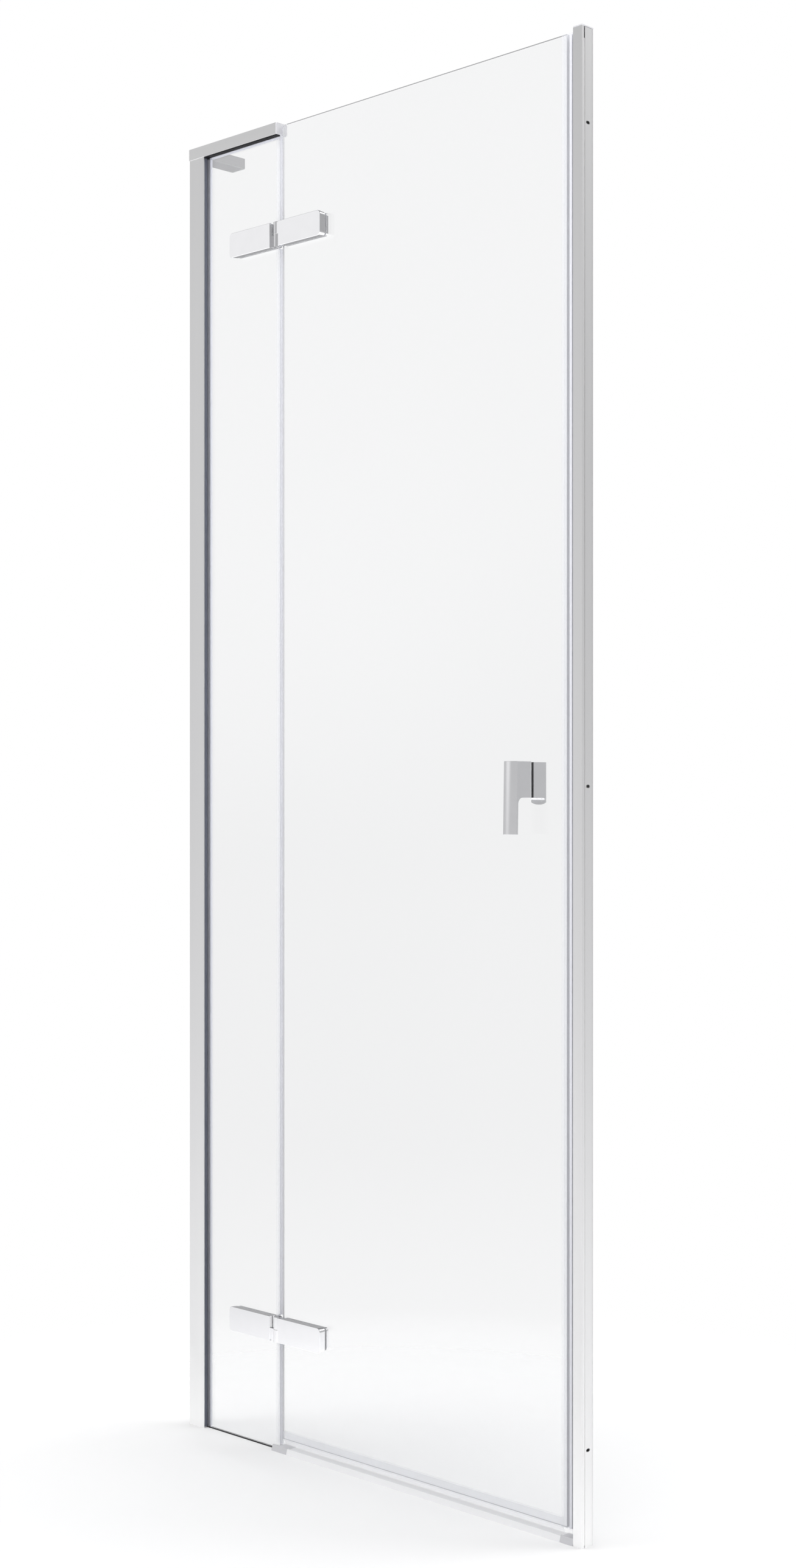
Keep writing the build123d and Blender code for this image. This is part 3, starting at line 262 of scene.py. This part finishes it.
def skinned(name, dark, light, rough, height, metallic=0.0, grain=1500.0, waves=60.0, **values):
    """Moulded, cast or plated finish with a fine skin."""
    material, tree, shader, place = surface(name, Metallic=metallic, **values)
    skin = add(tree, "ShaderNodeGroup", {"Grain": grain, "Waves": waves}, node_tree=MOULDED_SKIN)
    tree.links.new(place, skin.inputs["Vector"])
    tree.links.new(tones(tree, skin.outputs["Wave"], dark, light), shader.inputs["Base Color"])
    tree.links.new(between(tree, skin.outputs["Speckle"], *rough), shader.inputs["Roughness"])
    relief(tree, shader, skin.outputs["Speckle"], height)
    return material


def let_light_through(material, tint):
    """Lamps shine through this clear material instead of leaving an opaque shadow."""
    tree = material.node_tree
    output = next(n for n in tree.nodes if n.type == "OUTPUT_MATERIAL")
    shader = next(n for n in tree.nodes if n.type == "BSDF_PRINCIPLED")
    path = add(tree, "ShaderNodeLightPath")
    clear = add(tree, "ShaderNodeBsdfTransparent", {"Color": (*tint, 1.0)})
    mix = add(tree, "ShaderNodeMixShader")
    tree.links.new(path.outputs["Is Shadow Ray"], mix.inputs["Fac"])
    tree.links.new(shader.outputs["BSDF"], mix.inputs[1])
    tree.links.new(clear.outputs["BSDF"], mix.inputs[2])
    tree.links.new(mix.outputs["Shader"], output.inputs["Surface"])
    return material


def pane_glass():
    """Clear toughened glass, with the faintest green."""
    material, tree, shader, place = surface(
        "pane_glass", IOR=1.52, **{"Transmission Weight": 1.0, "Metallic": 0.0}
    )
    skin = add(tree, "ShaderNodeGroup", {"Grain": 8.0, "Waves": 3.0}, node_tree=MOULDED_SKIN)
    tree.links.new(place, skin.inputs["Vector"])
    tint = tones(tree, skin.outputs["Wave"], PANE_DARK, PANE_LIGHT)
    tree.links.new(tint, shader.inputs["Base Color"])
    tree.links.new(between(tree, skin.outputs["Speckle"], 0.0, 0.004), shader.inputs["Roughness"])
    return let_light_through(material, PANE_SHADOW)


def seal_plastic():
    """Clear extruded seal, slightly cloudy, too thin to bend what is seen through it."""
    material, tree, shader, place = surface("seal_plastic", IOR=1.3, Alpha=SEAL_CLOUD, Metallic=0.0)
    stretched = add(tree, "ShaderNodeMapping", {"Scale": SEAL_STRETCH})
    grain = add(tree, "ShaderNodeGroup", {"Lines": SEAL_LINES}, node_tree=DRAWN_GRAIN)
    tree.links.new(place, stretched.inputs["Vector"])
    tree.links.new(stretched.outputs["Vector"], grain.inputs["Vector"])
    tint = tones(tree, grain.outputs["Cloud"], SEAL_DARK, SEAL_LIGHT)
    tree.links.new(tint, shader.inputs["Base Color"])
    tree.links.new(between(tree, grain.outputs["Line"], 0.22, 0.3), shader.inputs["Roughness"])
    return material


ALONG_X = (0.01, 1.0, 1.0)
ALONG_Y = (1.0, 0.01, 1.0)
ALONG_Z = (1.0, 1.0, 0.01)
SATIN_DARK = (0.79, 0.79, 0.788)
SATIN_LIGHT = (0.83, 0.83, 0.828)
# Arm: a darker copy of the satin aluminium, painted shade on the wall arm and its end cap
ARM_SHADED_DARK = (0.66, 0.66, 0.668)
ARM_SHADED_LIGHT = (0.70, 0.70, 0.708)
# Sill: a lighter, less metallic copy of the satin aluminium, painted light that brightens its top face
SILL_LIT_DARK = (0.90, 0.90, 0.91)
SILL_LIT_LIGHT = (0.94, 0.94, 0.95)
SILL_METALLIC = 0.3
SATIN_ROUGH = (0.42, 0.46)
MATT = {"Specular IOR Level": 0.15}

FINISHES = {
    "satin_upright": extruded_metal("satin_upright", ALONG_Z, SATIN_DARK, SATIN_LIGHT),
    "satin_rail": extruded_metal("satin_rail", ALONG_X, SATIN_DARK, SATIN_LIGHT),
    # Painted shade: the arm's satin is a darker copy of the frame's aluminium
    "satin_arm_painted_shade": extruded_metal("satin_arm_painted_shade", ALONG_Y, ARM_SHADED_DARK, ARM_SHADED_LIGHT),
    # Painted light: the sill's satin is a lighter copy of the frame's aluminium
    "satin_sill_painted_light": extruded_metal("satin_sill_painted_light", ALONG_X, SILL_LIT_DARK, SILL_LIT_LIGHT, SILL_METALLIC),
    "moulded_grey": skinned("moulded_grey", (0.60, 0.60, 0.62), (0.66, 0.66, 0.68), (0.38, 0.5), 0.00002),
    "dark_gasket": skinned(
        "dark_gasket", (0.12, 0.13, 0.165), (0.15, 0.16, 0.20), (0.45, 0.6), 0.00003, **MATT
    ),
    "grey_gasket": skinned("grey_gasket", (0.88, 0.89, 0.96), (0.92, 0.93, 1.0), (0.4, 0.55), 0.00003),
    "black_gasket": skinned(
        "black_gasket", (0.008, 0.008, 0.01), (0.014, 0.014, 0.016), (0.4, 0.55), 0.00003, **MATT
    ),
    "hinge_pad": skinned("hinge_pad", (0.84, 0.84, 0.86), (0.88, 0.88, 0.90), (0.45, 0.6), 0.00002),
    "bush": skinned("bush", (0.78, 0.78, 0.76), (0.83, 0.83, 0.81), (0.3, 0.4), 0.00001),
    "magnet": skinned("magnet", (0.86, 0.86, 0.89), (0.90, 0.90, 0.93), (0.4, 0.5), 0.00002),
    "die_cast": skinned(
        "die_cast", (0.36, 0.36, 0.37), (0.44, 0.44, 0.45), (0.42, 0.55), 0.00004, metallic=1.0
    ),
    "steel": skinned("steel", (0.58, 0.58, 0.58), (0.66, 0.66, 0.66), (0.22, 0.3), 0.00001, metallic=1.0),
    "chrome": skinned(
        "chrome", (0.86, 0.86, 0.87), (0.90, 0.90, 0.91), (0.10, 0.14), 0.000004, metallic=1.0
    ),
    "frosted": skinned("frosted", (0.90, 0.905, 0.93), (0.94, 0.945, 0.97), (0.35, 0.45), 0.00001),
    "glass": pane_glass(),
    "clear_seal": seal_plastic(),
}


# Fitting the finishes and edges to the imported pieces


def dress(node, finish):
    """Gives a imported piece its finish."""
    piece = frame["nodes"][node]
    piece.data.materials.clear()
    piece.data.materials.append(FINISHES[finish])


def softened(node, finish, edge, body, segments=2):
    """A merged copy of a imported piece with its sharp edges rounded, which stands for it.

    A clear piece is drawn in by a hair, so that no face of it lies in a neighbour's face.
    """
    source = frame["nodes"][node]
    take(source)
    bpy.ops.object.duplicate()
    piece = bpy.context.object
    piece.name = node + "_finished"
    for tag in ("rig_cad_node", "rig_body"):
        del piece[tag]
    bpy.ops.object.parent_clear(type="CLEAR_KEEP_TRANSFORM")
    bpy.ops.object.mode_set(mode="EDIT")
    bpy.ops.mesh.select_all(action="SELECT")
    bpy.ops.mesh.remove_doubles(threshold=MERGE_GAP)
    bpy.ops.mesh.dissolve_limited(angle_limit=FLAT_ANGLE)
    if finish in CLEAR_FINISHES:
        bpy.ops.mesh.select_all(action="SELECT")
        bpy.ops.transform.shrink_fatten(value=-CLEAR_GAP)
    bpy.ops.object.mode_set(mode="OBJECT")
    bevel = piece.modifiers.new("rounded", "BEVEL")
    bevel.width = edge
    bevel.segments = segments
    bevel.limit_method = "ANGLE"
    bevel.angle_limit = SHARP_ANGLE
    bpy.ops.object.modifier_apply(modifier=bevel.name)
    bpy.ops.object.shade_smooth_by_angle(angle=SMOOTH_ANGLE)
    flats = piece.modifiers.new("flats", "WEIGHTED_NORMAL")
    flats.keep_sharp = True
    flats.weight = 100
    bpy.ops.object.modifier_apply(modifier=flats.name)
    piece.data.materials.clear()
    piece.data.materials.append(FINISHES[finish])
    if finish == "glass":
        piece.data.materials.append(FINISHES["frosted"])
        for face in piece.data.polygons:
            face.material_index = int(abs(face.normal.x) > GROUND_EDGE)
    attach(piece, body)
    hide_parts(node)
    return piece


FRAME_PIECES = {
    "left_cover_profile": ("satin_upright", EXTRUSION_EDGE),
    "left_wall_channel": ("satin_upright", EXTRUSION_EDGE),
    "right_cover_profile": ("satin_upright", EXTRUSION_EDGE),
    "right_wall_channel": ("satin_upright", EXTRUSION_EDGE),
    "top_rail": ("satin_rail", EXTRUSION_EDGE),
    "sill_profile": ("satin_sill_painted_light", EXTRUSION_EDGE),
    "wall_arm": ("satin_arm_painted_shade", EXTRUSION_EDGE),
    "top_rail_end_cap": ("moulded_grey", MOULDED_EDGE),
    "wall_arm_end_cap": ("satin_arm_painted_shade", EXTRUSION_EDGE),
    "right_top_cap": ("moulded_grey", MOULDED_EDGE),
    "sill_left_cap": ("moulded_grey", MOULDED_EDGE),
    "sill_right_cap": ("moulded_grey", MOULDED_EDGE),
    "top_rail_gasket": ("black_gasket", EXTRUSION_EDGE),
    "left_front_gasket": ("dark_gasket", EXTRUSION_EDGE),
    "left_rear_gasket": ("grey_gasket", EXTRUSION_EDGE),
    "top_rail_rear_gasket": ("grey_gasket", EXTRUSION_EDGE),
    "gap_seal": ("clear_seal", SEAL_EDGE),
    "magnet_receiver": ("clear_seal", SEAL_EDGE),
    "fixed_glass": ("glass", GLASS_ARRIS),
}
DOOR_PIECES = {
    "door_glass": ("glass", GLASS_ARRIS),
    "drip_seal": ("clear_seal", SEAL_EDGE),
    "magnet_seal": ("clear_seal", SEAL_EDGE),
    "handle_outer": ("chrome", MOULDED_EDGE),
    "handle_inner": ("chrome", MOULDED_EDGE),
}
PLAIN_PIECES = {
    "foot_seal": "black_gasket",
    "corner_key": "die_cast",
    "corner_key_screws": "steel",
    "left_cover_screws": "steel",
    "right_cover_screws": "steel",
    "receiver_magnet": "magnet",
    "door_magnet": "magnet",
    "handle_studs": "steel",
    "handle_outer_pad": "frosted",
    "handle_inner_pad": "black_gasket",
}
for hinge in HINGES:
    for side, pieces in (("fixed", FRAME_PIECES), ("door", DOOR_PIECES)):
        pieces[f"{hinge}_hinge_{side}_body"] = ("chrome", HINGE_EDGE)
        pieces[f"{hinge}_hinge_{side}_plate"] = ("chrome", HINGE_EDGE)
        PLAIN_PIECES[f"{hinge}_hinge_{side}_pads"] = "hinge_pad"
        PLAIN_PIECES[f"{hinge}_hinge_{side}_screws"] = "steel"
    PLAIN_PIECES[f"{hinge}_hinge_pin"] = "steel"
    PLAIN_PIECES[f"{hinge}_hinge_bush"] = "bush"

for body, pieces in (("frame", FRAME_PIECES), ("door", DOOR_PIECES)):
    for node, (finish, edge) in pieces.items():
        softened(node, finish, edge, body)
for node, finish in PLAIN_PIECES.items():
    dress(node, finish)


def joint_lip():
    """Light lip that stands back in the joint of the right profile, hooked behind the cover."""
    nothing_selected()
    bpy.ops.mesh.primitive_cube_add(size=1.0, location=JOINT_LIP_MIDDLE, scale=JOINT_LIP_SIZE)
    lip = bpy.context.object
    lip.name = "right_joint_lip"
    bpy.ops.object.transform_apply(location=True, rotation=True, scale=True)
    steps = ((Vector((-1.0, 0.0, 0.0)), LIP_LEG), (Vector((0.0, -1.0, 0.0)), LIP_HOOK))
    for normal, reach in steps:
        bpy.ops.object.mode_set(mode="OBJECT")
        furthest = min(
            lip.data.polygons, key=lambda face: (round(-face.normal.dot(normal), 3), face.center.x)
        )
        for items in (lip.data.polygons, lip.data.edges, lip.data.vertices):
            items.foreach_set("select", [False] * len(items))
        furthest.select = True
        bpy.ops.object.mode_set(mode="EDIT")
        bpy.ops.mesh.select_mode(type="FACE")
        bpy.ops.mesh.extrude_region_move(TRANSFORM_OT_translate={"value": normal * reach})
    bpy.ops.object.mode_set(mode="OBJECT")
    rounded = lip.modifiers.new("rounded", "BEVEL")
    rounded.width = SEAL_EDGE
    rounded.segments = 2
    bpy.ops.object.modifier_apply(modifier=rounded.name)
    bpy.ops.object.shade_smooth_by_angle(angle=SMOOTH_ANGLE)
    lip.data.materials.append(FINISHES["satin_upright"])
    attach(lip, "frame")


joint_lip()


# Studio


def studio_floor():
    """Pale round floor that fades into the white room, and glows in what the metal mirrors: a painted
    reflection brighter than its lighting.
    """
    nothing_selected()
    bpy.ops.mesh.primitive_circle_add(vertices=FLOOR_SIDES, radius=FLOOR_RADIUS, fill_type="NGON")
    floor = bpy.context.object
    floor.name = "studio_floor"
    material, tree, shader, place = surface("studio_floor", **{"Roughness": 0.9, "Specular IOR Level": 0.1})
    skin = add(tree, "ShaderNodeGroup", {"Grain": 300.0, "Waves": 2.0}, node_tree=MOULDED_SKIN)
    tree.links.new(place, skin.inputs["Vector"])
    tree.links.new(tones(tree, skin.outputs["Wave"], FLOOR_DARK, FLOOR_LIGHT), shader.inputs["Base Color"])
    # Painted reflection: the floor glows white only where a glossy ray sees it, so the metal mirrors it
    # brighter than it is lit
    path = add(tree, "ShaderNodeLightPath")
    mirrored_glow = add(tree, "ShaderNodeMapRange", {"To Max": FLOOR_MIRRORED_GLOW})
    tree.links.new(path.outputs["Glossy Depth"], mirrored_glow.inputs["Value"])
    tree.links.new(mirrored_glow.outputs["Result"], shader.inputs["Emission Strength"])
    distance = add(tree, "ShaderNodeVectorMath", operation="LENGTH")
    edge = {"From Min": FLOOR_FADE[0], "From Max": FLOOR_FADE[1]}
    fade = add(tree, "ShaderNodeMapRange", edge, interpolation_type="SMOOTHSTEP")
    clear = add(tree, "ShaderNodeBsdfTransparent")
    mix = add(tree, "ShaderNodeMixShader")
    tree.links.new(place, distance.inputs[0])
    tree.links.new(distance.outputs["Value"], fade.inputs["Value"])
    tree.links.new(fade.outputs["Result"], mix.inputs["Fac"])
    tree.links.new(shader.outputs["BSDF"], mix.inputs[1])
    tree.links.new(clear.outputs["BSDF"], mix.inputs[2])
    output = next(n for n in tree.nodes if n.type == "OUTPUT_MATERIAL")
    tree.links.new(mix.outputs["Shader"], output.inputs["Surface"])
    floor.data.materials.append(material)


def studio_light(name, place, aim, size, power):
    """Soft rectangular light that shows only by what it lights."""
    light = bpy.data.lights.new(name, "AREA")
    light.shape = "RECTANGLE"
    light.size, light.size_y = size
    light.energy = power
    lamp = bpy.data.objects.new(name, light)
    lamp.location = place
    lamp.rotation_euler = (Vector(aim) - Vector(place)).to_track_quat("-Z", "Y").to_euler()
    lamp.visible_camera = False
    lamp.visible_glossy = False
    lamp.visible_transmission = False
    bpy.context.scene.collection.objects.link(lamp)


def toward(tree, source, direction, low, high):
    """How far the view direction leans to a given one, from 0 at the cosine low to 1 at high."""
    lean = add(tree, "ShaderNodeVectorMath", operation="DOT_PRODUCT")
    lean.inputs[1].default_value = direction
    edge = {"From Min": low, "From Max": high}
    step = add(tree, "ShaderNodeMapRange", edge, interpolation_type="SMOOTHSTEP")
    tree.links.new(source, lean.inputs[0])
    tree.links.new(lean.outputs["Value"], step.inputs["Value"])
    return step.outputs["Result"]


def grey_steps(tree, source, steps):
    """Greys that change with height, from a list of places and values."""
    ramp = add(tree, "ShaderNodeValToRGB")
    stops = ramp.color_ramp.elements
    while len(stops) < len(steps):
        stops.new(0.5)
    for stop, (place, grey) in zip(stops, steps):
        stop.position = place
        stop.color = (grey, grey, grey * 1.015, 1.0)
    tree.links.new(source, ramp.inputs["Fac"])
    return ramp.outputs["Color"]


def studio_room():
    """White to the camera and through the glass, but a grey room with two soft lights to the metal."""
    world = bpy.data.worlds.new("studio_room")
    world.use_nodes = True
    tree = world.node_tree
    tree.nodes.clear()
    place = add(tree, "ShaderNodeTexCoord").outputs["Generated"]
    split = add(tree, "ShaderNodeSeparateXYZ")
    height = add(tree, "ShaderNodeMapRange", {"From Min": -1.0, "From Max": 1.0})
    tree.links.new(place, split.inputs["Vector"])
    tree.links.new(split.outputs["Z"], height.inputs["Value"])

    room = add(tree, "ShaderNodeMix", data_type="RGBA")
    tree.links.new(toward(tree, place, BEHIND, 0.45, 0.9), room.inputs["Factor"])
    tree.links.new(grey_steps(tree, height.outputs["Result"], ROOM_SIDES), room.inputs["A"])
    tree.links.new(grey_steps(tree, height.outputs["Result"], ROOM_BEHIND), room.inputs["B"])

    mirrored = room.outputs["Result"]
    for direction, edge, glow in SOFT_BOXES:
        box = add(tree, "ShaderNodeMix", data_type="RGBA", blend_type="ADD")
        box.inputs["B"].default_value = (glow, glow, glow, 1.0)
        tree.links.new(toward(tree, place, direction, *edge), box.inputs["Factor"])
        tree.links.new(mirrored, box.inputs["A"])
        mirrored = box.outputs["Result"]

    path = add(tree, "ShaderNodeLightPath")
    bounces = add(tree, "ShaderNodeMath", operation="ADD")
    direct = add(tree, "ShaderNodeMath", {1: 0.5}, operation="LESS_THAN")
    tree.links.new(path.outputs["Glossy Depth"], bounces.inputs[0])
    tree.links.new(path.outputs["Diffuse Depth"], bounces.inputs[1])
    tree.links.new(bounces.outputs["Value"], direct.inputs[0])

    seen = add(tree, "ShaderNodeMix", data_type="RGBA")
    seen.inputs["B"].default_value = (1.0, 1.0, 1.0, 1.0)
    background = add(tree, "ShaderNodeBackground")
    output = add(tree, "ShaderNodeOutputWorld")
    tree.links.new(direct.outputs["Value"], seen.inputs["Factor"])
    tree.links.new(mirrored, seen.inputs["A"])
    tree.links.new(seen.outputs["Result"], background.inputs["Color"])
    tree.links.new(background.outputs["Background"], output.inputs["Surface"])
    bpy.context.scene.world = world


def studio_camera():
    """The photograph's view: level, at mid-height, about 45 degrees to the right of the door's face."""
    data = bpy.data.cameras.new("photo_camera")
    data.lens = CAMERA_LENS
    data.sensor_width = CAMERA_SENSOR
    data.shift_y = CAMERA_SHIFT_Y
    camera = bpy.data.objects.new("photo_camera", data)
    camera.location = CAMERA_PLACE
    camera.rotation_euler = (math.radians(90), 0.0, CAMERA_YAW)
    bpy.context.scene.collection.objects.link(camera)
    bpy.context.scene.camera = camera


studio_floor()
studio_room()
for lamp in LAMPS:
    studio_light(*lamp)
studio_camera()
bpy.context.scene.view_settings.view_transform = "Standard"
